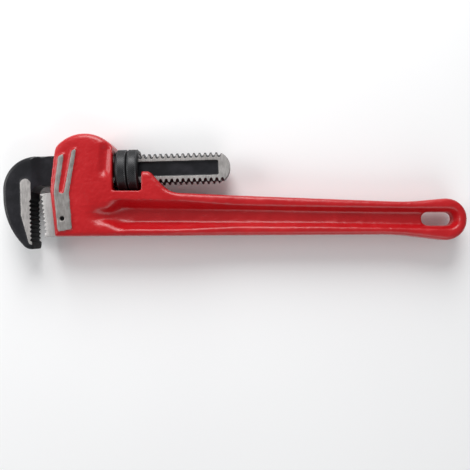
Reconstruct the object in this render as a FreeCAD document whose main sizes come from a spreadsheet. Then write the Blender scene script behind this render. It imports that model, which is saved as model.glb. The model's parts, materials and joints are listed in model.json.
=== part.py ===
import FreeCAD, Part
import math
import os
import re
import Sketcher

# A straight pipe wrench, lying on its side. +X runs from the jaws to the hanging hole, +Y to the side of the
# dome and +Z up through the thickness. The floor is z = 0, which the ground lands of the lower cheek rest on.
# Inside each body the datum is the centre of the adjusting nut, on the middle plane of the wrench.

os.makedirs("parts", exist_ok=True)
doc = FreeCAD.newDocument("PipeWrench")

# ---------------------------------------------------------------- driving dimensions, mm and degrees
SIZES = [
    # where the nut's centre lies in the wrench's own frame, and how the shank leans in the housing
    ("nut_place_x", "-95.49"),
    ("nut_place_y", "19.59"),
    ("shank_tilt", "1.6"),
    ("rock_angle", "2"),
    ("running_gap", "0.35"),
    # shank and thread
    ("crest_radius", "14.2"),
    ("tooth_height", "2.5"),
    ("thread_pitch", "5"),
    ("crest_width", "1.6"),
    ("flank_run", "0.9"),
    ("thread_start", "-26"),
    ("shank_end", "91.2"),
    ("shank_thick", "15"),
    ("side_pocket_high", "13"),
    ("side_pocket_deep", "2.2"),
    ("side_pocket_end", "80.6"),
    ("side_pocket_start", "-40"),
    # hook
    ("hook_thick", "24.6"),
    ("hook_back", "25.4"),
    ("hook_nose_drop", "67.5"),
    ("neck_fall", "1.9"),
    ("hook_strip_wide", "9.5"),
    ("hook_strip_raised", "0.5"),
    ("hook_edge", "3.5"),
    # teeth of the jaws
    ("tooth_pitch", "3.78"),
    ("hook_tooth_deep", "1.9"),
    ("hook_teeth", "10"),
    ("jaw_gap", "8.7"),
    ("hook_first_tooth", "24"),
    ("heel_tooth_deep", "2"),
    ("heel_teeth", "9"),
    ("heel_lean", "6.5"),
    ("heel_face", "9.6"),
    ("heel_thick", "24.6"),
    ("heel_tongue_thick", "13"),
    ("heel_tongue_deep", "17"),
    ("heel_tongue_high", "26"),
    ("pin_diameter", "4.1"),
    ("pin_gap", "0.03"),
    # nut
    ("nut_wall", "3.9"),
    ("nut_bore_gap", "0.4"),
    ("ridge_play", "0.9"),
    ("nut_long", "20.6"),
    ("nut_chamfer", "1.8"),
    ("nut_groove_wide", "2"),
    ("nut_floor_gap", "0.7"),
    # housing and handle
    ("head_front", "66.6"),
    ("head_thick", "34.8"),
    ("land_raised", "1.6"),
    ("dome_radius", "32.1"),
    ("dome_lean", "4.8"),
    ("dome_shoulder", "19.7"),
    ("seat_top", "20.8"),
    ("head_bottom", "59.3"),
    ("window_front_gap", "0.65"),
    ("window_back", "13.4"),
    ("post_top", "-2.2"),
    ("post_wide", "7"),
    ("post_foot", "37.3"),
    ("handle_long", "300.8"),
    ("handle_thick", "24.5"),
    ("web_thick", "10"),
    ("web_draft", "28"),
    ("web_start", "9"),
    ("run_out", "24"),
    ("run_out_high", "10"),
    ("handle_top", "20.6"),
    ("butt_long", "60.8"),
    ("neck_high_side", "28.6"),
    ("neck_low_side", "57.5"),
    ("butt_radius", "18.2"),
    ("grip_edge", "3.6"),
    ("dome_edge", "5"),
    ("hang_drop", "43.5"),
    ("hang_long", "28.5"),
    ("hang_high", "12"),
    ("hang_corner", "5.6"),
    ("hang_from_end", "24.8"),
    # springs under the shank
    ("leaf_thick", "1.2"),
    ("leaf_wide", "11"),
    ("leaf_set_back", "7.6"),
    ("leaf_back", "19"),
    ("coil_diameter", "8.4"),
    ("coil_wire", "1.4"),
    ("coil_place", "40"),
    ("coil_seat", "36"),
    ("coil_turns", "5.5"),
    ("rivet_diameter", "3"),
    ("rivet_long", "6"),
]

sheet = doc.addObject("Spreadsheet::Sheet", "Sizes")
for row, (alias, value) in enumerate(SIZES, start=1):
    sheet.set(f"A{row}", alias)
    sheet.set(f"B{row}", value)
    sheet.setAlias(f"B{row}", alias)
doc.recompute()
ALIASES = {alias for alias, value in SIZES}

# ---------------------------------------------------------------- places that follow from the sizes
HOOK_FACE = "(head_front + heel_face + jaw_gap)"
HOOK_REACH = f"({HOOK_FACE} + hook_back)"
NECK_TOP = "(crest_radius - 0.2)"
NUT_BORE = "(crest_radius + nut_bore_gap)"
NUT_RADIUS = f"({NUT_BORE} + nut_wall)"
NECK_X = "(handle_long - butt_long)"
HANG_X = "(handle_long - hang_from_end)"
LEAF_FRONT = "(head_front - leaf_set_back)"
WINDOW_FRONT = f"(nut_long / 2 + window_front_gap + {NUT_RADIUS} * sin((shank_tilt + rock_angle) * 1deg))"
WINDOW_FLOOR = f"({NUT_RADIUS} + nut_floor_gap)"
FRONT_FOOT = "(head_front - (head_bottom - seat_top) * tan(heel_lean * 1deg))"
HEAD_HALF = "(head_thick / 2)"
TONGUE_TOP = "(seat_top + 9)"
TONGUE_BACK = "(head_front - heel_tongue_deep)"
PIN_X = "(head_front - 11.3)"
PIN_Y = "(seat_top + 22.8)"
ROCK_DROP = "tan(rock_angle * 1deg)"
LEAF_TOP = "(crest_radius + running_gap)"


# ---------------------------------------------------------------- how sketches and features are made
def bound(text):
    """The expression with each size's name pointing at its cell."""
    return re.sub(r"[a-z_]+[a-z_0-9]*", lambda m: "Sizes." + m[0] if m[0] in ALIASES else m[0], text)


def number(text):
    """The value that an expression of sizes has now."""
    value = sheet.evalExpression(bound(text))
    return float(getattr(value, "Value", value))


def new_body(label):
    body = doc.addObject("PartDesign::Body", label)
    body.Label = label
    return body


def new_sketch(body, role, name, lift=None, turn=None):
    """A sketch on one of the body's own origin planes, lifted off it and turned in it where asked."""
    sketch = body.newObject("Sketcher::SketchObject", name)
    plane = next(item for item in body.Origin.OriginFeatures if item.Role == role)
    sketch.AttachmentSupport = (plane, [""])
    sketch.MapMode = "FlatFace"
    if lift:
        sketch.setExpression("AttachmentOffset.Base.z", bound(lift))
    if turn:
        sketch.AttachmentOffset = FreeCAD.Placement(
            sketch.AttachmentOffset.Base, FreeCAD.Rotation(FreeCAD.Vector(0, 0, 1), number(turn))
        )
        sketch.setExpression("AttachmentOffset.Rotation.Angle", bound(turn))
    return sketch


def bind(sketch, constraint, text):
    """Adds a dimension and ties it to its expression."""
    index = sketch.addConstraint(Sketcher.Constraint(*constraint, number(text)))
    sketch.setExpression(f"Constraints[{index}]", bound(text))


def pin_down(sketch, curve, end, x, y):
    bind(sketch, ("DistanceX", -1, 1, curve, end), x)
    bind(sketch, ("DistanceY", -1, 1, curve, end), y)


def corner_arc(before, here, after, radius):
    """The arc that rounds a corner: its two ends and its middle."""
    back = (before - here).normalize()
    ahead = (after - here).normalize()
    half = back.getAngle(ahead) / 2
    reach = radius / math.tan(half)
    bisector = (back + ahead).normalize()
    centre = here + bisector * (radius / math.sin(half))
    return here + back * reach, centre - bisector * radius, here + ahead * reach


def outline(sketch, corners):
    """A closed outline. A corner is (x, y) or (x, y, radius), and an arc reaches ("bow", x, y, radius)."""
    spots = []
    for corner in corners:
        x, y = corner[1:3] if corner[0] == "bow" else corner[0:2]
        spots.append(FreeCAD.Vector(number(x), number(y), 0))
    count = len(corners)
    rounds = {}
    for i, corner in enumerate(corners):
        if corner[0] != "bow" and len(corner) == 3:
            rounds[i] = corner_arc(spots[i - 1], spots[i], spots[(i + 1) % count], number(corner[2]))
    runs = []
    for i in range(count):
        j = (i + 1) % count
        start = rounds[i][2] if i in rounds else spots[i]
        finish = rounds[j][0] if j in rounds else spots[j]
        if corners[j][0] == "bow":
            radius = number(corners[j][3])
            middle = (start + finish) / 2
            across = (finish - start).cross(FreeCAD.Vector(0, 0, 1)).normalize()
            sag = abs(radius) - math.sqrt(radius**2 - (finish - start).Length ** 2 / 4)
            bend = middle + across * math.copysign(sag, radius)
            runs.append(sketch.addGeometry(arc_through(start, bend, finish)))
            bind(sketch, ("Radius", runs[-1]), f"abs({corners[j][3]})")
        else:
            runs.append(sketch.addGeometry(Part.LineSegment(start, finish)))
    for i in range(count):
        x, y = corners[i][1:3] if corners[i][0] == "bow" else corners[i][0:2]
        into, out = runs[i - 1], runs[i]
        if i in rounds:
            arc = sketch.addGeometry(arc_through(*rounds[i]))
            point = sketch.addGeometry(Part.Point(spots[i]), True)
            pin_down(sketch, point, 1, x, y)
            sketch.addConstraint(Sketcher.Constraint("PointOnObject", point, 1, into))
            sketch.addConstraint(Sketcher.Constraint("PointOnObject", point, 1, out))
            join(sketch, into, arc, rounds[i][0], "Tangent")
            join(sketch, arc, out, rounds[i][2], "Tangent")
            bind(sketch, ("Radius", arc), corners[i][2])
        else:
            join(sketch, into, out, spots[i], "Coincident")
            pin_down(sketch, out, end_at(sketch, out, spots[i]), x, y)


def arc_through(first, middle, last):
    """The arc through three points, turning counter-clockwise as a sketch wants it."""
    if (middle - first).cross(last - middle).z < 0:
        first, last = last, first
    ring = Part.Arc(first, middle, last).toShape().Curve
    centre, axis = ring.Center, FreeCAD.Vector(0, 0, 1)
    angles = [math.atan2(spot.y - centre.y, spot.x - centre.x) for spot in (first, last)]
    return Part.ArcOfCircle(Part.Circle(centre, axis, ring.Radius), angles[0], angles[1])


def end_at(sketch, curve, spot):
    """1 or 2: the end of a sketch curve that lies at a spot."""
    shape = sketch.Geometry[curve]
    return 1 if (shape.StartPoint - spot).Length < (shape.EndPoint - spot).Length else 2


def join(sketch, first, second, spot, kind):
    sketch.addConstraint(
        Sketcher.Constraint(kind, first, end_at(sketch, first, spot), second, end_at(sketch, second, spot))
    )


def circle(sketch, x, y, radius):
    centre = FreeCAD.Vector(number(x), number(y), 0)
    ring = sketch.addGeometry(Part.Circle(centre, FreeCAD.Vector(0, 0, 1), 1))
    pin_down(sketch, ring, 3, x, y)
    bind(sketch, ("Radius", ring), radius)


def through(body, kind, sketch, name, length=None):
    """A pad or pocket to both sides of its sketch: of a length, or right through."""
    feature = body.newObject("PartDesign::" + kind, name)
    feature.Profile = sketch
    if length is None:
        feature.Type = "ThroughAll"
    else:
        feature.setExpression("Length", bound(length))
    feature.SideType = "Symmetric"
    doc.recompute()
    return feature


def one_way(body, kind, sketch, name, length, reverse, draft=None):
    """A pad or pocket to one side of its sketch, opening outwards where it has a draft."""
    feature = body.newObject("PartDesign::" + kind, name)
    feature.Profile = sketch
    feature.setExpression("Length", bound(length))
    feature.Reversed = reverse
    if draft:
        feature.setExpression("TaperAngle", bound(draft))
    doc.recompute()
    return feature


def round_edges(body, wanted, radius, name, kind="Fillet"):
    """Rounds or chamfers the edges that pass the wanted test."""
    base = body.Tip
    names = [f"Edge{i}" for i, edge in enumerate(base.Shape.Edges, start=1) if wanted(edge)]
    feature = body.newObject("PartDesign::" + kind, name)
    feature.Base = (base, names)
    feature.setExpression("Radius" if kind == "Fillet" else "Size", bound(radius))
    doc.recompute()
    return feature


def place(body, tilted):
    """Sets a body in the wrench's frame, leaning with the shank where it belongs to the jaw."""
    if tilted:
        body.Placement = FreeCAD.Placement(FreeCAD.Vector(), FreeCAD.Rotation(FreeCAD.Vector(0, 0, 1), 1))
        body.setExpression("Placement.Rotation.Angle", bound("shank_tilt"))
    body.setExpression("Placement.Base.x", bound("nut_place_x"))
    body.setExpression("Placement.Base.y", bound("nut_place_y"))
    body.setExpression("Placement.Base.z", bound("head_thick / 2 + land_raised"))


# ---------------------------------------------------------------- hook jaw: hook, neck and threaded shank
def make_hook_jaw():
    body = new_body("hook_jaw")
    side = new_sketch(body, "XY_Plane", "hook_outline")
    outline(side, [
        ("thread_start + 4", NECK_TOP),
        (f"-{HOOK_REACH}", NECK_TOP, "30"),
        (f"-{HOOK_REACH}", "-hook_nose_drop + 20.5", "62"),
        (f"-{HOOK_REACH} + 20.3", "-hook_nose_drop - 1.1", "8"),
        (f"-{HOOK_FACE} + 0.7", "-hook_nose_drop - 0.5"),
        (f"-{HOOK_FACE} + 0.4", "-hook_first_tooth"),
        (f"-{HOOK_FACE} + 0.2", "-crest_radius + neck_fall", "7.5"),
        ("thread_start + 4", "-crest_radius + neck_fall"),
    ])
    through(body, "Pad", side, "hook_and_neck", "hook_thick")
    rim_height, back = number("hook_thick / 2"), number(f"-{HOOK_FACE} - 4")
    round_edges(body, lambda edge: on_level(edge, rim_height) and edge.BoundBox.XMin < back,
                "hook_edge", "hook_rim")
    core = new_sketch(body, "XY_Plane", "bar_half")
    outline(core, [
        ("thread_start - 6", "0"),
        ("shank_end", "0"),
        ("shank_end", "crest_radius"),
        ("thread_start - 6", "crest_radius"),
    ])
    turned = body.newObject("PartDesign::Revolution", "shank_bar")
    turned.Profile = core
    turned.ReferenceAxis = (core, ["H_Axis"])
    doc.recompute()
    trim = new_sketch(body, "XZ_Plane", "plan_trim")
    for sign in ("", "-"):
        outline(trim, [
            (f"-{HOOK_REACH} + 26", f"{sign}(hook_thick / 2)"),
            (f"-{HOOK_REACH} + 34", f"{sign}(shank_thick / 2)", "5"),
            ("shank_end + 10", f"{sign}(shank_thick / 2)"),
            ("shank_end + 10", f"{sign}(hook_thick)"),
            (f"-{HOOK_REACH} + 26", f"{sign}(hook_thick)"),
        ])
    through(body, "Pocket", trim, "flats")
    tail = new_sketch(body, "XY_Plane", "tail_round")
    outline(tail, [
        ("shank_end - crest_radius", "crest_radius + 6"),
        ("shank_end - crest_radius", "crest_radius"),
        ("bow", "shank_end", "0", "-crest_radius"),
        ("bow", "shank_end - crest_radius", "-crest_radius", "-crest_radius"),
        ("shank_end - crest_radius", "-crest_radius - 6"),
        ("shank_end + 9", "-crest_radius - 6"),
        ("shank_end + 9", "crest_radius + 6"),
    ])
    through(body, "Pocket", tail, "rounded_tail")
    for name, lift, reverse in (("near", "shank_thick / 2", False), ("far", "-shank_thick / 2", True)):
        hollow = new_sketch(body, "XY_Plane", name + "_pocket_outline", lift)
        outline(hollow, [
            ("side_pocket_start", "side_pocket_high / 2", "1.5"),
            ("side_pocket_start", "-side_pocket_high / 2", "1.5"),
            ("side_pocket_end", "-side_pocket_high / 2", "1.5"),
            ("side_pocket_end", "side_pocket_high / 2", "1.5"),
        ])
        one_way(body, "Pocket", hollow, name + "_pocket", "side_pocket_deep", reverse)
    cut_thread_side(body, "top", "", "thread_start + thread_pitch / 2")
    cut_thread_side(body, "bottom", "-", "thread_start + thread_pitch")
    for name, lift, reverse in (("near", "hook_thick / 2 - 1", False), ("far", "-(hook_thick / 2 - 1)", True)):
        strip = new_sketch(body, "XY_Plane", name + "_strip_outline", lift)
        outline(strip, [
            (f"-{HOOK_FACE} + 0.5 - hook_strip_wide", "-hook_nose_drop + 29"),
            (f"-{HOOK_FACE} - 2.6", "-hook_nose_drop + 4"),
            (f"-{HOOK_FACE}", "-hook_nose_drop + 3"),
            (f"-{HOOK_FACE}", "-5.6", "4.2"),
            (f"-{HOOK_FACE} + 0.5 - hook_strip_wide", "-5.6", "4.2"),
        ])
        one_way(body, "Pad", strip, name + "_strip", "1 + hook_strip_raised", reverse)
    cut_teeth(body, "hook", f"-{HOOK_FACE} + 0.3", "-hook_first_tooth", 0.5, 1)
    place(body, True)
    return body


def on_level(edge, height):
    """Whether an edge lies flat at a height above or below the middle plane."""
    box = edge.BoundBox
    return abs(abs(box.ZMin) - height) < 0.01 and abs(box.ZMax - box.ZMin) < 0.01


def cut_thread_side(body, name, sign, first):
    """The thread gaps along one edge of the flattened shank. The two edges are half a pitch apart."""
    gap = new_sketch(body, "XY_Plane", name + "_gap_outline")
    wide = "(thread_pitch - crest_width)"
    outline(gap, [
        (f"{first} - {wide} / 2 + flank_run", f"{sign}(crest_radius - tooth_height)"),
        (f"{first} + {wide} / 2 - flank_run", f"{sign}(crest_radius - tooth_height)"),
        (f"{first} + {wide} / 2 + flank_run", f"{sign}(crest_radius + tooth_height)"),
        (f"{first} - {wide} / 2 - flank_run", f"{sign}(crest_radius + tooth_height)"),
    ])
    cut = body.newObject("PartDesign::Groove", name + "_thread_gap")
    cut.Profile = gap
    cut.ReferenceAxis = (gap, ["H_Axis"])
    cut.Midplane = True
    cut.Angle = 180
    doc.recompute()
    row = body.newObject("PartDesign::LinearPattern", name + "_thread")
    row.Originals = [cut]
    row.Direction = (gap, ["H_Axis"])
    body.Tip = row
    count = "floor((shank_end - 4 - thread_start) / thread_pitch)"
    row.setExpression("Length", bound(f"thread_pitch * ({count} - 1)"))
    row.setExpression("Occurrences", bound(count))
    doc.recompute()


def cut_teeth(body, name, tip_x, first_y, lean, side, turn=None):
    """Tooth gaps across a jaw, repeated down its face. side is +1 where they face +X, and lean hooks them."""
    groove = new_sketch(body, "XY_Plane", name + "_groove", None, turn)
    deep, count = name + "_tooth_deep", name + "_teeth"
    out, into = ("+", "-") if side > 0 else ("-", "+")
    outline(groove, [
        (f"{tip_x} {out} 1", f"{first_y} + (tooth_pitch / 2 + {lean}) / ({deep})"),
        (f"{tip_x} {into} ({deep})", f"{first_y} - tooth_pitch / 2 - {lean}"),
        (f"{tip_x} {out} 1", f"{first_y} - tooth_pitch - (tooth_pitch / 2 - {lean}) / ({deep})"),
    ])
    cut = through(body, "Pocket", groove, name + "_tooth_gap")
    row = body.newObject("PartDesign::LinearPattern", name + "_tooth_row")
    row.Originals = [cut]
    row.Direction = (groove, ["V_Axis"])
    row.Reversed = True
    body.Tip = row
    row.setExpression("Length", bound(f"tooth_pitch * ({count} - 1)"))
    row.setExpression("Occurrences", bound(count))
    doc.recompute()
    return row


# ---------------------------------------------------------------- handle, housing and fork: one casting

def make_handle():
    body = new_body("handle")
    side = new_sketch(body, "XY_Plane", "casting_outline")
    outline(side, [
        (f"-{FRONT_FOOT}", "-head_bottom"),
        (NECK_X, "-neck_low_side", "200"),
        ("handle_long", "-neck_low_side - 7.4", "butt_radius"),
        ("handle_long", "-neck_high_side + 5", "butt_radius"),
        (f"{NECK_X} + 8", "-neck_high_side", "200"),
        ("post_foot", "-handle_top", "22"),
        ("window_back + post_wide", "post_top", "4.5"),
        ("window_back", "post_top"),
        ("window_back", f"-{WINDOW_FLOOR}"),
        (f"-{WINDOW_FRONT}", f"-{WINDOW_FLOOR}"),
        (f"-{WINDOW_FRONT}", "dome_shoulder"),
        ("bow", "-head_front + dome_lean", "dome_shoulder", "dome_radius"),
        ("-head_front", "-seat_top"),
    ])
    through(body, "Pad", side, "casting", "head_thick")
    trim = new_sketch(body, "XZ_Plane", "plan_trim")
    for sign in ("", "-"):
        outline(trim, [
            ("window_back + 14", f"{sign}({HEAD_HALF} + 2)"),
            ("window_back + 14", f"{sign}{HEAD_HALF}"),
            ("window_back + 30", f"{sign}{HEAD_HALF}", "90"),
            ("window_back + 85", f"{sign}(handle_thick / 2)", "120"),
            ("handle_long + 9", f"{sign}(handle_thick / 2)"),
            ("handle_long + 9", f"{sign}({HEAD_HALF} + 2)"),
        ])
    through(body, "Pocket", trim, "slimmed_handle")
    foot = number(WINDOW_FLOOR)
    half = number("handle_thick / 2")
    round_edges(body, lambda edge: is_long_rim(edge, half, foot), "grip_edge", "rounded_rim")
    round_edges(body, lambda edge: on_level(edge, number(HEAD_HALF)) and edge.BoundBox.YMax > foot + 5,
                "dome_edge", "rounded_dome")
    for name, lift, reverse in (("near", "web_thick / 2", True), ("far", "-web_thick / 2", False)):
        web = new_sketch(body, "XY_Plane", name + "_web_outline", lift)
        outline(web, [
            ("-web_start", "-46.6", "4"),
            (f"{NECK_X} - 60", "-neck_low_side + 10.3"),
            ("handle_long - 10.6", "-neck_low_side + 8.4", "5"),
            ("handle_long - 10.6", "-neck_high_side - 9.5", "5"),
            (f"{NECK_X} - 60", "-neck_high_side - 8.4"),
            ("-web_start", "-33.6", "4"),
        ])
        one_way(body, "Pocket", web, name + "_web", "head_thick / 2", reverse, "web_draft")
    run_out = new_sketch(body, "XZ_Plane", "run_out_outline", "36.2")
    for sign in ("", "-"):
        outline(run_out, [
            ("-web_start - run_out", f"{sign}({HEAD_HALF} + 1)"),
            ("-web_start - run_out", f"{sign}({HEAD_HALF} - 0.2)", "8"),
            ("-web_start + 1", f"{sign}(web_thick / 2 + 0.3)"),
            ("-web_start + 1", f"{sign}({HEAD_HALF} + 1)"),
        ])
    one_way(body, "Pocket", run_out, "web_run_out", "run_out_high", True)
    hang = new_sketch(body, "XY_Plane", "hang_outline")
    outline(hang, [
        (f"{HANG_X} + {side_x} * hang_long / 2", f"-hang_drop + {side_y} * hang_high / 2", "hang_corner")
        for side_x, side_y in ((1, 1), (-1, 1), (-1, -1), (1, -1))
    ])
    through(body, "Pocket", hang, "hang_hole")
    for name, lift, reverse in (("near", f"{HEAD_HALF} - 1", False), ("far", f"-({HEAD_HALF} - 1)", True)):
        land = new_sketch(body, "XY_Plane", name + "_land_outline", lift)
        outline(land, [
            ("-head_front + 7.6", "-head_bottom + 4.1", "1.5"),
            ("-head_front + 20", "-head_bottom + 6.7", "2"),
            ("-head_front + 17.4", "-seat_top", "20"),
            ("-head_front + 23.7", "dome_shoulder - 2.4", "1"),
            ("-head_front + 19.9", "dome_shoulder - 3.8", "1"),
            ("-head_front + 13", "-seat_top - 1.2", "2.4"),
            ("-head_front + 7.9", "-seat_top - 1.2", "2.4"),
            ("-head_front + 13.1", "dome_shoulder - 6.5", "1"),
            ("-head_front + 8.2", "dome_shoulder - 9", "1"),
            ("-head_front + 4.2", "-seat_top", "20"),
        ])
        one_way(body, "Pad", land, name + "_land", "1 + land_raised", reverse)
    channel = new_sketch(body, "XY_Plane", "channel_outline", None, "shank_tilt")
    outline(channel, [
        ("-head_front - 9", f"-(crest_radius + 0.6 + (head_front + 9) * {ROCK_DROP})"),
        ("0", "-(crest_radius + 0.6)"),
        ("post_foot + 9", "-(crest_radius + 0.6)"),
        ("post_foot + 9", f"{LEAF_TOP}"),
        ("-head_front - 9", f"{LEAF_TOP}"),
    ])
    through(body, "Pocket", channel, "shank_channel", "shank_thick + 2 * running_gap")
    leaf_room = new_sketch(body, "XY_Plane", "leaf_room_outline", None, "shank_tilt")
    room_front, room_back = f"({LEAF_FRONT} + 1)", "(leaf_back - 1)"
    outline(leaf_room, [
        (f"-{room_front}", f"-({LEAF_TOP} + leaf_thick + 0.5 + {room_front} * {ROCK_DROP})"),
        (f"-{room_back}", f"-({LEAF_TOP} + leaf_thick + 0.5 + {room_back} * {ROCK_DROP})"),
        (f"-{room_back}", "0"),
        (f"-{room_front}", "0"),
    ])
    through(body, "Pocket", leaf_room, "leaf_room", "leaf_wide + 2 * running_gap")
    well = new_sketch(body, "XZ_Plane", "coil_well_outline")
    circle(well, "-coil_place", "0", "coil_diameter / 2 + running_gap")
    one_way(body, "Pocket", well, "coil_well", "coil_seat", True)
    seat = new_sketch(body, "XY_Plane", "tongue_seat_outline")
    tongue_outline(seat, "-head_front - 9")
    through(body, "Pocket", seat, "tongue_seat", "heel_tongue_thick")
    bore = new_sketch(body, "XY_Plane", "pin_bore_outline")
    circle(bore, f"-{PIN_X}", f"-{PIN_Y}", "pin_diameter / 2 + pin_gap")
    through(body, "Pocket", bore, "pin_bore")
    place(body, False)
    return body


def is_long_rim(edge, half, foot):
    """The outer edges of the grip, the post's back and the butt, at the near and far side."""
    box = edge.BoundBox
    middle = edge.valueAt((edge.FirstParameter + edge.LastParameter) / 2)
    high = abs(middle.z) > half - 0.1 and abs(box.ZMax) > 1
    return high and edge.Length > 3 and (box.YMax < -foot - 0.5 or box.XMin > number("window_back") + 2)


def tongue_outline(sketch, front):
    outline(sketch, [
        (front, f"-{TONGUE_TOP}"),
        (front, f"-({TONGUE_TOP} + heel_tongue_high)"),
        (f"-{TONGUE_BACK}", f"-({TONGUE_TOP} + heel_tongue_high)"),
        (f"-{TONGUE_BACK}", f"-{TONGUE_TOP}"),
    ])


# ---------------------------------------------------------------- heel jaw and its pin
def make_heel_jaw():
    body = new_body("heel_jaw")
    block = new_sketch(body, "XY_Plane", "heel_outline")
    outline(block, [
        (f"-{FRONT_FOOT} - heel_face", "-head_bottom - 0.6"),
        (f"-{FRONT_FOOT}", "-head_bottom"),
        ("-head_front", "-seat_top"),
        ("-head_front - heel_face", "-seat_top - 1.2"),
    ])
    through(body, "Pad", block, "heel_block", "heel_thick")
    tongue = new_sketch(body, "XY_Plane", "tongue_outline")
    tongue_outline(tongue, "-head_front - 2")
    through(body, "Pad", tongue, "tongue", "heel_tongue_thick")
    bore = new_sketch(body, "XY_Plane", "pin_bore_outline")
    circle(bore, f"-{PIN_X}", f"-{PIN_Y}", "pin_diameter / 2 + pin_gap")
    through(body, "Pocket", bore, "pin_bore")
    face = "-(head_front + heel_face) * cos(heel_lean * 1deg) - seat_top * sin(heel_lean * 1deg)"
    first = "(head_front + heel_face) * sin(heel_lean * 1deg) - seat_top * cos(heel_lean * 1deg) - 2.4"
    cut_teeth(body, "heel", f"{face} + 0.1", first, -0.4, -1, "heel_lean")
    place(body, False)
    return body


def make_heel_jaw_pin():
    body = new_body("heel_jaw_pin")
    section = new_sketch(body, "XY_Plane", "pin_outline")
    circle(section, f"-{PIN_X}", f"-{PIN_Y}", "pin_diameter / 2")
    through(body, "Pad", section, "pin", "head_thick - 2")
    round_edges(body, lambda edge: edge.BoundBox.ZMax - edge.BoundBox.ZMin < 0.01, "0.4", "pin_ends", "Chamfer")
    place(body, False)
    return body


# ---------------------------------------------------------------- adjusting nut
def helix(body, start):
    """The nut's thread: a ridge about the X axis that runs with play in the shank's gaps."""
    profile = new_sketch(body, "XY_Plane", "ridge_profile")
    tip, foot = "(crest_width - ridge_play + 0.2)", "(crest_width + 0.6)"
    outline(profile, [
        (f"{start} - {foot} / 2", f"{NUT_BORE} + 0.2"),
        (f"{start} + {foot} / 2", f"{NUT_BORE} + 0.2"),
        (f"{start} + {tip} / 2", "crest_radius - tooth_height + ridge_play"),
        (f"{start} - {tip} / 2", "crest_radius - tooth_height + ridge_play"),
    ])
    ridge = body.newObject("PartDesign::AdditiveHelix", "inner_thread")
    ridge.Profile = profile
    ridge.ReferenceAxis = (profile, ["H_Axis"])
    ridge.Mode = "pitch-height-angle"
    ridge.setExpression("Pitch", bound("thread_pitch"))
    ridge.setExpression("Height", bound(f"nut_long / 2 - 1.7 - {start}"))
    doc.recompute()


def make_adjusting_nut():
    body = new_body("adjusting_nut")
    section = new_sketch(body, "XY_Plane", "nut_half")
    outline(section, [
        ("-nut_long / 2", NUT_BORE),
        ("nut_long / 2", NUT_BORE),
        ("nut_long / 2", f"{NUT_RADIUS} - nut_chamfer"),
        ("nut_long / 2 - nut_chamfer", NUT_RADIUS),
        ("nut_groove_wide / 2", NUT_RADIUS),
        ("0", f"{NUT_RADIUS} - nut_groove_wide * 0.7"),
        ("-nut_groove_wide / 2", NUT_RADIUS),
        ("-nut_long / 2 + nut_chamfer", NUT_RADIUS),
        ("-nut_long / 2", f"{NUT_RADIUS} - nut_chamfer"),
    ])
    turned = body.newObject("PartDesign::Revolution", "nut_ring")
    turned.Profile = section
    turned.ReferenceAxis = (section, ["H_Axis"])
    doc.recompute()
    turns_in = "ceil((1.7 - nut_long / 2 - thread_start) / thread_pitch - 0.5)"
    start = f"(thread_start + ({turns_in} + 0.5) * thread_pitch)"
    helix(body, start)
    place(body, True)
    return body


# ---------------------------------------------------------------- springs under the shank
def rivet_half(sketch, grow):
    """Half the rivet: a countersunk head in the leaf and a stem that centres the coil."""
    outline(sketch, [
        ("0", f"-{LEAF_TOP}"),
        (f"rivet_diameter / 2 + leaf_thick * 0.7 + {grow}", f"-{LEAF_TOP}"),
        (f"rivet_diameter / 2 + {grow}", f"-{LEAF_TOP} - leaf_thick * 0.7"),
        (f"rivet_diameter / 2 + {grow}", f"-{LEAF_TOP} - rivet_long + 0.5"),
        ("rivet_diameter / 2 - 0.5", f"-{LEAF_TOP} - rivet_long"),
        ("0", f"-{LEAF_TOP} - rivet_long"),
    ])


def make_flat_spring():
    body = new_body("flat_spring")
    strip = new_sketch(body, "XY_Plane", "leaf_outline")
    outline(strip, [
        (f"-{LEAF_FRONT} + coil_place", f"-{LEAF_TOP} - leaf_thick"),
        ("-leaf_back + coil_place", f"-{LEAF_TOP} - leaf_thick"),
        ("-leaf_back + coil_place", f"-{LEAF_TOP}"),
        (f"-{LEAF_FRONT} + coil_place", f"-{LEAF_TOP}"),
    ])
    through(body, "Pad", strip, "leaf", "leaf_wide")
    hole = new_sketch(body, "XY_Plane", "rivet_hole_half")
    rivet_half(hole, "0")
    cut = body.newObject("PartDesign::Groove", "rivet_hole")
    cut.Profile = hole
    cut.ReferenceAxis = (hole, ["V_Axis"])
    doc.recompute()
    ends = number("leaf_thick")
    round_edges(body, lambda edge: abs(edge.Length - ends) < 0.01 and edge.BoundBox.YLength > ends / 2,
                "1.5", "leaf_corners")
    seat_on_shank(body)
    return body


def make_spring_rivet():
    body = new_body("spring_rivet")
    half = new_sketch(body, "XY_Plane", "rivet_half")
    rivet_half(half, "0")
    turned = body.newObject("PartDesign::Revolution", "rivet")
    turned.Profile = half
    turned.ReferenceAxis = (half, ["V_Axis"])
    doc.recompute()
    seat_on_shank(body)
    return body


def seat_on_shank(body):
    """The leaf and its rivet are drawn about the coil's place and lean with the shank."""
    place(body, True)
    body.setExpression("Placement.Base.x", bound("nut_place_x - coil_place * cos(shank_tilt * 1deg)"))
    body.setExpression("Placement.Base.y", bound("nut_place_y - coil_place * sin(shank_tilt * 1deg)"))


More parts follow.
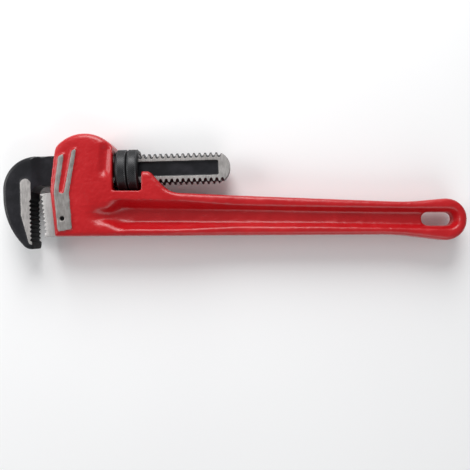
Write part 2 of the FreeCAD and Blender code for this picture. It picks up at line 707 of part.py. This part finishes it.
def make_coil_spring():
    body = new_body("coil_spring")
    wire = new_sketch(body, "XY_Plane", "wire_section")
    circle(wire, "(coil_diameter - coil_wire) / 2", "coil_wire / 2", "coil_wire / 2")
    spring = body.newObject("PartDesign::AdditiveHelix", "coil")
    spring.Profile = wire
    spring.ReferenceAxis = (wire, ["V_Axis"])
    spring.Mode = "height-turns-angle"
    rise = (
        f"coil_seat - ({LEAF_TOP} + leaf_thick) * cos(shank_tilt * 1deg) - coil_wire"
        " - (coil_place + coil_diameter / 2) * tan(shank_tilt * 1deg) - 0.05"
    )
    spring.setExpression("Height", bound(rise))
    spring.setExpression("Turns", bound("coil_turns"))
    doc.recompute()
    place(body, False)
    body.setExpression("Placement.Base.x", bound("nut_place_x - coil_place"))
    body.setExpression("Placement.Base.y", bound("nut_place_y - coil_seat"))
    return body


# ---------------------------------------------------------------- check and write
def write(body):
    doc.recompute()
    for item in body.Group:
        if "Invalid" in item.State or "Error" in item.State:
            raise RuntimeError(f"{body.Label}: {item.Name} did not build")
    shape = body.Shape
    if shape.isNull() or not shape.isValid():
        raise RuntimeError(f"{body.Label} is not a valid solid")
    shape.exportStep(f"parts/{body.Label}.step")
    box = shape.BoundBox
    print(body.Label, len(shape.Solids), round(shape.Volume), box)


MAKERS = (
    make_handle,
    make_heel_jaw,
    make_heel_jaw_pin,
    make_coil_spring,
    make_flat_spring,
    make_spring_rivet,
    make_adjusting_nut,
    make_hook_jaw,
)
for body in [make() for make in MAKERS]:
    write(body)
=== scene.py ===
import bpy
import math
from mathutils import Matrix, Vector
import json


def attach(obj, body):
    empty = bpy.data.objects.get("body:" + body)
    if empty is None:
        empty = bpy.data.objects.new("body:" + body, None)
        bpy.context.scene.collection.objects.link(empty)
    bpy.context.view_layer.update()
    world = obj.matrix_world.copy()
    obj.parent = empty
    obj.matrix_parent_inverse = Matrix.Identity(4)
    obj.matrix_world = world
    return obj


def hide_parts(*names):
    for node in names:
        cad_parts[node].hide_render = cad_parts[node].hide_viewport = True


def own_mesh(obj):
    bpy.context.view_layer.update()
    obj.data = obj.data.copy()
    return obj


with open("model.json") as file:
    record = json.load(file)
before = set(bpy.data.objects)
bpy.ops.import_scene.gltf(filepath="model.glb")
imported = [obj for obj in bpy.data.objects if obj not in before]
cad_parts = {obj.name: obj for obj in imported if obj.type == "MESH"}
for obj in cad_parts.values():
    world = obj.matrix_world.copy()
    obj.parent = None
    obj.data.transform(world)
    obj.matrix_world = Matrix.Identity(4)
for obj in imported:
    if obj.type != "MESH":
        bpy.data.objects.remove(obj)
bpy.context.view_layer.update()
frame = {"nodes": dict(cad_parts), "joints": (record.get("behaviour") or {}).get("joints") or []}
print("frame loaded")

# places are given from the nut's centre, along X and across Y, and heights from the middle
nutJoint = next(joint for joint in frame["joints"] if joint["name"] == "nut_spin")
nutCentre = Vector(nutJoint["pos_m"])
shankAxis = Vector(nutJoint["axis"]).normalized()
shankTilt = math.atan2(shankAxis.y, shankAxis.x)
midHeight = nutCentre.z


# mesh helpers

weldDistance = 0.000004
smoothFactor = 0.5


def fromNut(place):
    return place.x - nutCentre.x, place.y - nutCentre.y


def deselectAll():
    if bpy.context.mode != "OBJECT":
        bpy.ops.object.mode_set(mode="OBJECT")
    bpy.ops.object.select_all(action="DESELECT")


def makeActive(piece):
    deselectAll()
    piece.select_set(True)
    bpy.context.view_layer.objects.active = piece


def copyOfNode(node, name):
    source = frame["nodes"][node]
    piece = source.copy()
    piece.data = source.data.copy()
    piece.name = piece.data.name = name
    piece.parent = None
    for key in list(piece.keys()):
        del piece[key]
    bpy.context.scene.collection.objects.link(piece)
    makeActive(piece)
    bpy.ops.object.mode_set(mode="EDIT")
    bpy.ops.mesh.select_all(action="SELECT")
    bpy.ops.mesh.remove_doubles(threshold=weldDistance)
    bpy.ops.object.mode_set(mode="OBJECT")
    return piece


def applyModifier(piece, kind, **settings):
    makeActive(piece)
    bpy.ops.object.modifier_add(type=kind)
    modifier = piece.modifiers[-1]
    for key, value in settings.items():
        setattr(modifier, key, value)
    bpy.ops.object.modifier_apply(modifier=modifier.name)


def softenWhole(piece, voxel, rounds):
    # a voxel skin takes the sharp corners off as foundry sand and thick enamel do
    applyModifier(piece, "REMESH", mode="VOXEL", voxel_size=voxel, use_smooth_shade=True)
    applyModifier(piece, "SMOOTH", factor=smoothFactor, iterations=rounds)


def applyInPart(piece, weight, kind, **settings):
    # a modifier that acts only where weight(place) says so, from 0 to 1
    group = piece.vertex_groups.new(name=kind)
    for point in piece.data.vertices:
        share = weight(point.co)
        if share > 0:
            group.add([point.index], min(share, 1), "REPLACE")
    applyModifier(piece, kind, vertex_group=group.name, **settings)
    piece.vertex_groups.clear()


def softenPart(piece, weight, rounds):
    applyInPart(piece, weight, "SMOOTH", factor=smoothFactor, iterations=rounds)


def ramp(value, low, high):
    # 0 at low, 1 at high, smooth in between
    share = min(max((value - low) / (high - low), 0), 1)
    return share * share * (3 - 2 * share)


def rise(value, span):
    return ramp(value, *span)


def fall(value, span):
    return 1 - ramp(value, *span)


def patchShare(place, patch):
    # 1 in the middle of the patch, and 0 outside the spans along X and across Y that end it
    x, y = fromNut(place)
    (start, end), (low, high) = patch
    return rise(x, start) * fall(x, end) * rise(y, low) * fall(y, high)


def selectPoints(piece, wanted):
    makeActive(piece)
    bpy.ops.object.mode_set(mode="EDIT")
    bpy.ops.mesh.select_mode(type="VERT")
    bpy.ops.mesh.select_all(action="DESELECT")
    bpy.ops.object.mode_set(mode="OBJECT")
    for point in piece.data.vertices:
        point.select = wanted(point.co)
    bpy.ops.object.mode_set(mode="EDIT")


def finishPiece(piece, body, nodes):
    deselectAll()
    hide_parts(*nodes)
    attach(piece, body)


# shader maths: a socket that takes part in Python expressions

class Wire:
    def __init__(self, finish, socket):
        self.finish = finish
        self.socket = socket

    def maths(self, operation, *others):
        return self.finish.node("ShaderNodeMath", {"operation": operation}, (self,) + others)

    def __add__(self, other):
        return self.maths("ADD", other)

    def __sub__(self, other):
        return self.maths("SUBTRACT", other)

    def __mul__(self, other):
        return self.maths("MULTIPLY", other)

    def __rsub__(self, other):
        return self.finish.node("ShaderNodeMath", {"operation": "SUBTRACT"}, (other, self))

    __radd__ = __add__
    __rmul__ = __mul__

    def between(self, low, high):
        # 0 below low, 1 above high, smooth in between
        settings = {"interpolation_type": "SMOOTHSTEP"}
        ends = {"From Min": low, "From Max": high, "Value": self}
        return self.finish.node("ShaderNodeMapRange", settings, ends)

    def size(self):
        return self.maths("ABSOLUTE")

    def larger(self, other):
        return self.maths("MAXIMUM", other)


upwardSpan = (0.80, 0.96)
mixSockets = {"first": 6, "second": 7, "result": 2}  # the colour sockets of a mix node


class Finish:
    def __init__(self, name):
        self.material = bpy.data.materials.new(name)
        self.material.use_nodes = True
        self.tree = self.material.node_tree
        self.shader = self.tree.nodes["Principled BSDF"]
        self.place = self.node("ShaderNodeTexCoord", out="Object")

    def plug(self, socket, value):
        if isinstance(value, Wire):
            self.tree.links.new(value.socket, socket)
        else:
            socket.default_value = value

    def node(self, kind, settings=None, inputs=None, out=0):
        # one node of any kind: its settings first, then the values or links of its sockets
        made = self.tree.nodes.new(kind)
        for key, value in (settings or {}).items():
            setattr(made, key, value)
        named = inputs.items() if isinstance(inputs, dict) else enumerate(inputs or ())
        for key, value in named:
            self.plug(made.inputs[key], value)
        return Wire(self, made.outputs[out])

    def noise(self, scale, detail, roughness, along=None):
        values = {"Vector": along or self.place, "Scale": scale, "Detail": detail,
                  "Roughness": roughness}
        return self.node("ShaderNodeTexNoise", inputs=values)

    def turned(self, turn, centre=(0, 0, 0), scale=(1, 1, 1)):
        # the place seen from a centre, turned about the height and stretched
        settings = {"operation": "SUBTRACT"}
        shifted = self.node("ShaderNodeVectorMath", settings, (self.place, centre))
        values = {"Vector": shifted, "Rotation": (0, 0, turn), "Scale": scale}
        return self.node("ShaderNodeMapping", {"vector_type": "POINT"}, values)

    def axis(self, name, place=None):
        return self.node("ShaderNodeSeparateXYZ", inputs=(place or self.place,), out=name)

    def facingUp(self):
        # 1 on faces that look straight up or down, 0 on walls
        normal = self.node("ShaderNodeNewGeometry", out="Normal")
        return self.axis("Z", normal).size().between(*upwardSpan)

    def blend(self, mask, first, second):
        values = {"Factor": mask, mixSockets["first"]: first, mixSockets["second"]: second}
        return self.node("ShaderNodeMix", {"data_type": "RGBA"}, values, mixSockets["result"])

    def bump(self, height, strength, distance):
        values = {"Height": height, "Strength": strength, "Distance": distance}
        return self.node("ShaderNodeBump", inputs=values)

    def set(self, values):
        for key, value in values.items():
            self.plug(self.shader.inputs[key], value)


# finishes
# a tone is a linear colour, a noise is its scale, detail and roughness, and a mask goes from 0
# to 1 over its span

bareSteel = {"metallic": 0.45, "roughness": 0.36, "marksRoughness": 0.2, "tones": (0.35, 0.65)}
grinding = {
    "stretch": (2600, 160, 160),
    "fine": (1.0, 2.0, 0.6),
    "broad": (140.0, 3.0, 0.6),
    "shares": (0.6, 0.4),
}


def cloud(finish, look):
    # a noise pulled to 0 and 1 at the ends of its span
    return finish.noise(*look["noise"]).between(*look["span"])


def wander(finish, look):
    # a small height either way, which makes the edge of a mask less even
    return (finish.noise(*look["noise"]) - 0.5) * look["height"]


def layered(finish, layers):
    # several noises, each with its own share of the height
    return sum(finish.noise(*noise) * share for noise, share in layers)


def groundMarks(finish, turn):
    # parallel scratches left by the grinding wheel, with a broader cloudy tone
    fine = finish.noise(*grinding["fine"], finish.turned(turn, scale=grinding["stretch"]))
    broad = finish.noise(*grinding["broad"])
    fineShare, broadShare = grinding["shares"]
    return fine * fineShare + broad * broadShare


def groundTone(finish, marks, look):
    share = marks.between(*bareSteel["tones"])
    return finish.blend(share, look["groundDark"], look["groundSteel"])


def groundRoughness(marks):
    return marks * bareSteel["marksRoughness"] + bareSteel["roughness"]


enamelLook = {
    "red": (0.445, 0.0035, 0.007, 1),
    "deepRed": (0.33, 0.0022, 0.005, 1),
    "paleRed": (0.50, 0.007, 0.011, 1),
    "groundSteel": (0.36, 0.34, 0.325, 1),
    "groundDark": (0.20, 0.185, 0.175, 1),
    "underCoat": (0.06, 0.012, 0.012, 1),
    "pinPlace": (-0.0553, -0.0436),
    "pinReach": 0.0034,
    "pinBlur": 0.0003,
    "landHeight": 0.0185,
    "landBlur": (0.00005, 0.00015),
    "wander": {"noise": (900.0, 2.0, 0.5), "height": 0.0003},
    "grindTurn": 0.1,
    "pooled": {"noise": (36.0, 3.0, 0.55), "span": (0.35, 0.7), "gloss": 0.06},
    "specks": {"noise": (420.0, 2.0, 0.6), "span": (0.60, 0.72), "share": 0.18},
    "dust": {"noise": (1100.0, 4.0, 0.7), "span": (0.52, 0.75), "share": 0.16},
    "chips": {"noise": (230.0, 4.0, 0.75), "span": (0.705, 0.72), "share": 0.8},
    # painted shade: the recessed web below the rims gets a share of deep red
    "web": {"span": (0.0048, 0.0098), "share": 0.1},
    "roughness": 0.32,
    "orangePeel": (((300.0, 3.0, 0.55), 0.5), ((70.0, 2.0, 0.5), 1.5), ((1500.0, 2.0, 0.6), 0.12)),
    "marksRelief": 0.25,
    "bump": (0.85, 0.001),
    "specular": 0.38,
    "coat": 0.28,
    "coatRoughness": 0.2,
}


def bareCasting(finish, height):
    # the ground lands, which stand proud of the paint, and a ring around the pin's end
    look = enamelLook
    edge = height + wander(finish, look["wander"])
    below, above = look["landBlur"]
    bare = edge.between(look["landHeight"] - below, look["landHeight"] + above)
    pinX, pinY = look["pinPlace"]
    offX = finish.axis("X") - (nutCentre.x + pinX)
    offY = finish.axis("Y") - (nutCentre.y + pinY)
    fromPin = (offX * offX + offY * offY).maths("SQRT")
    return bare.larger(1 - fromPin.between(look["pinReach"] - look["pinBlur"], look["pinReach"]))


def makeEnamel():
    finish, look = Finish("redEnamel"), enamelLook
    height = (finish.axis("Z") - midHeight).size()
    bare = bareCasting(finish, height)
    painted = 1 - bare
    pooled = cloud(finish, look["pooled"])
    specks, dust, chips = (cloud(finish, look[name]) for name in ("specks", "dust", "chips"))
    # painted shade: where the web lies below the rims it is tinted towards deep red, standing in
    # for the shade in the recess
    web = 1 - height.between(*look["web"]["span"])
    dirt = specks * look["specks"]["share"] + dust * look["dust"]["share"]
    paint = finish.blend(pooled, look["red"], look["paleRed"])
    paint = finish.blend(web * look["web"]["share"], paint, look["deepRed"])
    paint = finish.blend(dirt, paint, look["deepRed"])
    paint = finish.blend(chips * look["chips"]["share"], paint, look["underCoat"])
    marks = groundMarks(finish, look["grindTurn"])
    gloss = pooled * look["pooled"]["gloss"] + look["roughness"]
    relief = layered(finish, look["orangePeel"]) * painted + marks * bare * look["marksRelief"]
    finish.set({
        "Base Color": finish.blend(bare, paint, groundTone(finish, marks, look)),
        "Metallic": bare * bareSteel["metallic"],
        "Roughness": gloss * painted + bare * groundRoughness(marks),
        "Normal": finish.bump(relief, *look["bump"]),
        "Specular IOR Level": look["specular"],
        "Coat Weight": painted * look["coat"],
        "Coat Roughness": look["coatRoughness"],
    })
    return finish.material


forgingLook = {
    "black": (0.008, 0.008, 0.010, 1),
    "worn": (0.017, 0.016, 0.021, 1),
    # painted shade: the near-black that the hook's tooth band is darkened to
    "toothShadeBlack": (0.002, 0.002, 0.0025, 1),
    "groundSteel": (0.50, 0.475, 0.46, 1),
    "groundDark": (0.30, 0.285, 0.275, 1),
    "stripHeight": 0.01262,
    "stripBlur": (0.00004, 0.0001),
    "flatHeight": 0.0075,
    "flatBlur": (0.00016, 0.00004),
    "wander": {"noise": (700.0, 2.0, 0.5), "height": 0.0001},
    "landStart": -0.052,
    "landBlur": 0.001,
    "toothPlace": (-0.0866, -0.0185),
    "toothBlur": (0.0006, 0.001),
    "toothReach": (0.006, 0.007),
    "toothShadeShare": 0.85,
    "toothRoughness": 0.4,
    "cloud": {"noise": (60.0, 4.0, 0.6), "span": (0.35, 0.75), "gloss": 0.16},
    "roughness": 0.3,
    "millScale": (((520.0, 3.0, 0.6), 0.8), ((110.0, 3.0, 0.6), 1.2)),
    "marksRelief": 0.4,
    "bump": (0.4, 0.0004),
    "specular": 0.32,
    "coat": 0.12,
    "coatRoughness": 0.3,
}


def bareForging(finish, along):
    # the ground strips of the hook, and the ground flats of the shank behind the housing
    look = forgingLook
    edge = finish.axis("Z", along).size() + wander(finish, look["wander"])
    below, above = look["stripBlur"]
    strip = edge.between(look["stripHeight"] - below, look["stripHeight"] + above)
    start, end = look["flatBlur"]
    flat = edge.between(look["flatHeight"] - start, look["flatHeight"] - end)
    land = (look["landStart"], look["landStart"] + look["landBlur"])
    onShank = finish.axis("X", along).between(*land)
    return strip.larger(flat * onShank) * finish.facingUp()


def hookTeeth(finish, along):
    # painted shade: the hook's tooth band is darker than the skin around it, standing in for the
    # shade on and between the teeth
    ahead, below = finish.axis("X", along), finish.axis("Y", along)
    x, y = forgingLook["toothPlace"]
    blurX, blurY = forgingLook["toothBlur"]
    near, far = forgingLook["toothReach"]
    inside = ahead.between(x, x + blurX) * (1 - below.between(y, y + blurY))
    return inside * (1 - ahead.between(x + near, x + far))


def makeForging():
    finish, look = Finish("blackForging"), forgingLook
    along = finish.turned(-shankTilt, nutCentre)
    bare = bareForging(finish, along)
    black = 1 - bare
    cloudy = cloud(finish, look["cloud"])
    teeth = hookTeeth(finish, along)
    skin = finish.blend(cloudy, look["black"], look["worn"])
    # painted shade: the tooth band is darkened towards near-black
    skin = finish.blend(teeth * look["toothShadeShare"], skin, look["toothShadeBlack"])
    marks = groundMarks(finish, 0.0)
    gloss = cloudy * look["cloud"]["gloss"] + look["roughness"] + teeth * look["toothRoughness"]
    relief = layered(finish, look["millScale"]) * black + marks * bare * look["marksRelief"]
    finish.set({
        "Base Color": finish.blend(bare, skin, groundTone(finish, marks, look)),
        "Metallic": bare * bareSteel["metallic"],
        "Roughness": gloss * black + bare * groundRoughness(marks),
        "Normal": finish.bump(relief, *look["bump"]),
        "Specular IOR Level": look["specular"],
        "Coat Weight": black * (1 - teeth) * look["coat"],
        "Coat Roughness": look["coatRoughness"],
    })
    return finish.material


steelLook = {
    "light": (0.58, 0.56, 0.55, 1),
    "dark": (0.40, 0.385, 0.375, 1),
    "tones": (0.3, 0.7),
    "grindTurn": 0.11,
    "roughness": 0.30,
    "marksRoughness": 0.25,
    "bump": (0.25, 0.0003),
}


def makeBrightSteel():
    finish, look = Finish("brightSteel"), steelLook
    marks = groundMarks(finish, look["grindTurn"])
    finish.set({
        "Base Color": finish.blend(marks.between(*look["tones"]), look["dark"], look["light"]),
        "Metallic": bareSteel["metallic"],
        "Roughness": marks * look["marksRoughness"] + look["roughness"],
        "Normal": finish.bump(marks, *look["bump"]),
    })
    return finish.material


nutLook = {
    "black": (0.0094, 0.0094, 0.0101, 1),
    "tip": (0.0663, 0.0671, 0.0718, 1),
    "radius": 0.0185,
    "tipBlur": (0.0006, 0.00006),
    "tipShare": (0.4, 0.5),
    "cloud": {"noise": (200.0, 3.0, 0.6), "span": (0.3, 0.7), "gloss": 0.15},
    "grain": (1500.0, 2.0, 0.5),
    "metallic": 0.35,
    "roughness": 0.36,
    "bump": (0.2, 0.0002),
}


def makeNutBlack():
    finish, look = Finish("nutBlack"), nutLook
    along = finish.turned(-shankTilt, nutCentre)
    across, height = finish.axis("Y", along), finish.axis("Z", along)
    radius = (across * across + height * height).maths("SQRT")
    deep, shallow = look["tipBlur"]
    tips = radius.between(look["radius"] - deep, look["radius"] - shallow)
    cloudy = cloud(finish, look["cloud"])
    patchy, even = look["tipShare"]
    worn = tips * (cloudy * patchy + even)
    finish.set({
        "Base Color": finish.blend(worn, look["black"], look["tip"]),
        "Metallic": look["metallic"],
        "Roughness": cloudy * look["cloud"]["gloss"] + look["roughness"],
        "Normal": finish.bump(finish.noise(*look["grain"]), *look["bump"]),
    })
    return finish.material


springLook = {
    "springTone": (0.28, 0.29, 0.31, 1),
    "pinTone": (0.03, 0.03, 0.032, 1),
    "shade": 0.5,
    "cloud": {"noise": (500.0, 3.0, 0.6), "span": (0.3, 0.7), "gloss": 0.2},
    "grain": (900.0, 2.0, 0.5),
    "metallic": 0.9,
    "roughness": 0.3,
    "bump": (0.15, 0.0002),
}


def makeSpringSteel(name, tone):
    finish, look = Finish(name), springLook
    cloudy = cloud(finish, look["cloud"])
    dark = tuple(channel * look["shade"] for channel in tone[:3]) + (1,)
    finish.set({
        "Base Color": finish.blend(cloudy, dark, tone),
        "Metallic": look["metallic"],
        "Roughness": cloudy * look["cloud"]["gloss"] + look["roughness"],
        "Normal": finish.bump(finish.noise(*look["grain"]), *look["bump"]),
    })
    return finish.material


redEnamel = makeEnamel()
blackForging = makeForging()
brightSteel = makeBrightSteel()
nutBlack = makeNutBlack()
springSteel = makeSpringSteel("springSteel", springLook["springTone"])
pinSteel = makeSpringSteel("pinSteel", springLook["pinTone"])
print("finishes made")


def paint(piece, material):
    piece.data.materials.clear()
    piece.data.materials.append(material)


# the casting: handle, housing and fork

castingShape = {
    "skin": 0.00095,
    "rounds": 4,
    # where the web's recess fades out beside the housing
    "webPatch": (((-0.041, -0.034), (-0.010, 0.006)), ((-0.056, -0.050), (-0.032, -0.026))),
    "webRounds": 160,
    "gripStart": (0.022, 0.034),
    "underWindow": ((-0.036, -0.028), (-0.0285, -0.0255)),
    "domeEdge": (0.0225, 0.026),
    "gripRounds": 16,
    "foldPlace": (-0.0181, 0.008),
    "foldSize": (0.0068, 0.0175),
    "foldDeep": 0.0026,
    "foldLean": 0.08,
    "foldFade": 0.45,
    "cheekHeight": 0.010,
    "slotAlong": ((-0.0620, -0.0600), (-0.0150, -0.0135)),
    "slotAcross": (-0.0375, 0.0150),
    "slotHalf": 0.0095,
}


def webEndShare(place):
    return patchShare(place, castingShape["webPatch"])


def gripShare(place):
    # the grip and its flanges are rounder than the housing's lands and window
    x, y = fromNut(place)
    start, low = castingShape["underWindow"]
    underWindow = rise(x, start) * fall(y, low)
    return max(rise(x, castingShape["gripStart"]), underWindow, rise(y, castingShape["domeEdge"]))


def slotShare(place):
    # inside the slot the walls stay flat to their corners, to leave room for the shank and leaf
    x, y = fromNut(place)
    front, back = castingShape["slotAlong"]
    low, high = castingShape["slotAcross"]
    inside = abs(place.z - midHeight) < castingShape["slotHalf"] and low < y < high
    return rise(x, front) * fall(x, back) if inside else 0


def pressFold(piece):
    # the shallow upright hollow in each cheek beside the nut's window
    shape = castingShape
    foldX, foldY = shape["foldPlace"]
    wide, high = shape["foldSize"]
    for point in piece.data.vertices:
        side = point.co.z - midHeight
        if abs(side) < shape["cheekHeight"]:
            continue
        x, y = fromNut(point.co)
        across = abs(x - foldX - shape["foldLean"] * (y - foldY)) / wide
        along = abs(y - foldY) / high
        if across < 1 and along < 1:
            deep = shape["foldDeep"] * fall(across, (0, 1)) * fall(along, (shape["foldFade"], 1))
            point.co.z -= math.copysign(deep, side)


def makeCasting():
    piece = copyOfNode("handle", "handle_casting")
    softenWhole(piece, castingShape["skin"], castingShape["rounds"])
    softenPart(piece, gripShare, castingShape["gripRounds"])
    softenPart(piece, webEndShare, castingShape["webRounds"])
    applyInPart(piece, slotShare, "SHRINKWRAP", target=frame["nodes"]["handle"])
    pressFold(piece)
    paint(piece, redEnamel)
    finishPiece(piece, "handle", ["handle"])
    return piece


casting = makeCasting()
print("casting made", len(casting.data.polygons))


# the hook jaw

hookShape = {
    "skin": 0.0004,
    "rounds": 3,
    "keep": 0.5,
    # where the wide hook thins into the shank
    "neckPatch": (((-0.096, -0.088), (-0.074, -0.070)), ((-0.0125, -0.0095), (0.0115, 0.0138))),
    "neckRounds": 70,
}


def neckShare(place):
    return patchShare(place, hookShape["neckPatch"])


def makeHook():
    piece = copyOfNode("hook_jaw", "hook_jaw_forging")
    softenWhole(piece, hookShape["skin"], hookShape["rounds"])
    softenPart(piece, neckShare, hookShape["neckRounds"])
    applyModifier(piece, "DECIMATE", ratio=hookShape["keep"])
    paint(piece, blackForging)
    finishPiece(piece, "jaw", ["hook_jaw"])
    return piece


hook = makeHook()
print("hook jaw made", len(hook.data.polygons))


# the heel jaw, with a fine break on its ground edges

heelShape = {
    "edgeBreak": 0.00022,
    "flatAngle": math.radians(0.5),
    "edgeAngle": math.radians(25),
    "smoothAngle": math.radians(30),
}


def makeHeel():
    piece = copyOfNode("heel_jaw", "heel_jaw_ground")
    makeActive(piece)
    bpy.ops.object.mode_set(mode="EDIT")
    bpy.ops.mesh.select_all(action="SELECT")
    bpy.ops.mesh.dissolve_limited(angle_limit=heelShape["flatAngle"])
    bpy.ops.object.mode_set(mode="OBJECT")
    applyModifier(piece, "BEVEL", width=heelShape["edgeBreak"], segments=2, limit_method="ANGLE",
                  angle_limit=heelShape["edgeAngle"], use_clamp_overlap=True)
    bpy.ops.object.shade_smooth_by_angle(angle=heelShape["smoothAngle"])
    paint(piece, brightSteel)
    finishPiece(piece, "handle", ["heel_jaw"])
    return piece


heel = makeHeel()
print("heel jaw made")


# the adjusting nut, drawn out ring by ring, with the knurl pressed in

nutShape = {
    "radius": 0.0185,
    "length": 0.0206,
    "bore": 0.0146,
    "chamfer": 0.0018,
    "rimInset": 0.00003,
    "cornerBreak": 0.0002,
    "grooveHalf": 0.001,
    "grooveDeep": 0.0014,
    "knurlDeep": 0.0007,
    "knurlRows": 8,
    "spokes": 128,
    "rowTolerance": 0.00001,
    "smoothAngle": math.radians(24),
}


def nutStations():
    # (distance along the nut, radius, is it knurled)
    shape = nutShape
    half = shape["length"] / 2
    rim = shape["radius"] - shape["rimInset"]
    corner, small = rim - shape["chamfer"], shape["cornerBreak"]
    inner, outer = shape["grooveHalf"], half - shape["chamfer"]
    stations = [(-half, shape["bore"], False), (-half, corner + small, False)]
    stations.append((-half + small, corner, False))
    for low, high in ((-outer, -inner), (inner, outer)):
        rows = shape["knurlRows"]
        for row in range(rows + 1):
            stations.append((low + (high - low) * row / rows, rim, 0 < row < rows))
        if high < 0:
            stations.append((0, rim - shape["grooveDeep"], False))
    stations += [(half - small, corner, False), (half, corner + small, False)]
    stations.append((half, shape["bore"], False))
    return stations


def drawRings(name, stations, spokes):
    # a circle drawn out from station to station
    deselectAll()
    height, radius, _ = stations[0]
    bpy.ops.mesh.primitive_circle_add(vertices=spokes, radius=radius, location=(0, 0, height))
    piece = bpy.context.object
    piece.name = piece.data.name = name
    bpy.ops.object.transform_apply(location=True, rotation=True, scale=True)
    bpy.ops.object.mode_set(mode="EDIT")
    bpy.ops.mesh.select_mode(type="VERT")
    bpy.ops.mesh.select_all(action="SELECT")
    for along, wide, _ in stations[1:]:
        step, grow = along - height, wide / radius
        bpy.ops.mesh.extrude_region_move(TRANSFORM_OT_translate={"value": (0, 0, step)})
        bpy.ops.transform.resize(value=(grow, grow, 1), center_override=(0, 0, along))
        height, radius = along, wide
    bpy.ops.object.mode_set(mode="OBJECT")
    return piece


def pressKnurl(piece, stations, spokes):
    # every other point of each knurled ring goes in, with the rings out of step
    rows = [along for along, radius, knurled in stations if knurled]

    def pressed(place):
        near = [row for row, along in enumerate(rows)
                if abs(along - place.z) < nutShape["rowTolerance"]]
        spoke = round(math.atan2(place.y, place.x) / (2 * math.pi / spokes))
        return bool(near) and (near[0] + spoke) % 2 == 0

    selectPoints(piece, pressed)
    shrink = 1 - nutShape["knurlDeep"] / nutShape["radius"]
    bpy.ops.transform.resize(value=(shrink, shrink, 1), center_override=(0, 0, 0))


def closeBore():
    # walls the bore between its two open rims
    bpy.ops.mesh.select_mode(type="EDGE")
    bpy.ops.mesh.select_all(action="DESELECT")
    bpy.ops.mesh.select_non_manifold()
    bpy.ops.mesh.bridge_edge_loops()
    bpy.ops.mesh.select_all(action="SELECT")
    bpy.ops.mesh.normals_make_consistent(inside=False)
    bpy.ops.object.mode_set(mode="OBJECT")


def makeNut():
    stations, spokes = nutStations(), nutShape["spokes"]
    piece = drawRings("adjusting_nut_knurled", stations, spokes)
    pressKnurl(piece, stations, spokes)
    closeBore()
    piece.rotation_euler = (0, math.pi / 2, shankTilt)
    piece.location = nutCentre
    makeActive(piece)
    bpy.ops.object.transform_apply(location=True, rotation=True, scale=True)
    bpy.ops.object.shade_smooth_by_angle(angle=nutShape["smoothAngle"])
    paint(piece, nutBlack)
    finishPiece(piece, "nut", ["adjusting_nut"])
    return piece


nut = makeNut()
print("nut made", len(nut.data.polygons))


# the pin and the spring parts keep their CAD shape


def finishSmallPieces():
    for node in ("flat_spring", "spring_rivet", "coil_spring"):
        paint(frame["nodes"][node], springSteel)
    paint(frame["nodes"]["heel_jaw_pin"], pinSteel)
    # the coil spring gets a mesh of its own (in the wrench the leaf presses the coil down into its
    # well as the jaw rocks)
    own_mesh(frame["nodes"]["coil_spring"])


finishSmallPieces()
print("small pieces finished")


# floor, light and camera

studio = {
    "floorSize": 8,
    "floorTone": (0.92, 0.92, 0.92, 1),
    "floorPale": (0.95, 0.95, 0.95, 1),
    "floorCloud": {"noise": (3.0, 2.0, 0.5), "span": (0.2, 0.8)},
    "floorRoughness": 0.9,
    "worldTone": (0.95, 0.97, 1.0, 1),
    "worldStrength": 0.27,
    "cameraLift": 0.557,
    "cameraPlace": (0.0954, -0.058),
    "lens": 47.4,
    "sensor": 36,
    "nearest": 0.01,
    "lamps": (  # name, place, size, watts
        ("topSoft", (-0.10, 1.00, 0.70), 0.9, 14.5),
        ("leftSoft", (-1.00, 0.15, 0.55), 0.7, 5.0),
        ("frontSoft", (0.30, -0.90, 0.70), 0.9, 3.6),
    ),
}


def makeFloor():
    deselectAll()
    bpy.ops.mesh.primitive_plane_add(size=studio["floorSize"], location=(0, 0, 0))
    floor = bpy.context.object
    floor.name = "floor"
    finish = Finish("paleFloor")
    tone = cloud(finish, studio["floorCloud"])
    finish.set({
        "Base Color": finish.blend(tone, studio["floorTone"], studio["floorPale"]),
        "Roughness": studio["floorRoughness"],
    })
    paint(floor, finish.material)


def makeLamps():
    for name, place, size, power in studio["lamps"]:
        deselectAll()
        bpy.ops.object.light_add(type="AREA", location=place)
        lamp = bpy.context.object
        lamp.name = name
        lamp.data.shape = "DISK"
        lamp.data.size = size
        lamp.data.energy = power
        toOrigin = Vector((0, 0, 0)) - lamp.location
        lamp.rotation_euler = toOrigin.to_track_quat("-Z", "Y").to_euler()


def makeWorld():
    world = bpy.data.worlds.new("studioWorld")
    world.use_nodes = True
    background = world.node_tree.nodes["Background"]
    background.inputs["Color"].default_value = studio["worldTone"]
    background.inputs["Strength"].default_value = studio["worldStrength"]
    bpy.context.scene.world = world


def makeCamera():
    deselectAll()
    x, y = studio["cameraPlace"]
    place = (nutCentre.x + x, nutCentre.y + y, midHeight + studio["cameraLift"])
    bpy.ops.object.camera_add(location=place, rotation=(0, 0, 0))
    camera = bpy.context.object
    camera.name = "studioCamera"
    camera.data.sensor_width = studio["sensor"]
    camera.data.lens = studio["lens"]
    camera.data.clip_start = studio["nearest"]
    bpy.context.scene.camera = camera


makeFloor()
makeLamps()
makeWorld()
makeCamera()
bpy.context.scene.view_settings.view_transform = "Standard"
deselectAll()
print("studio made")
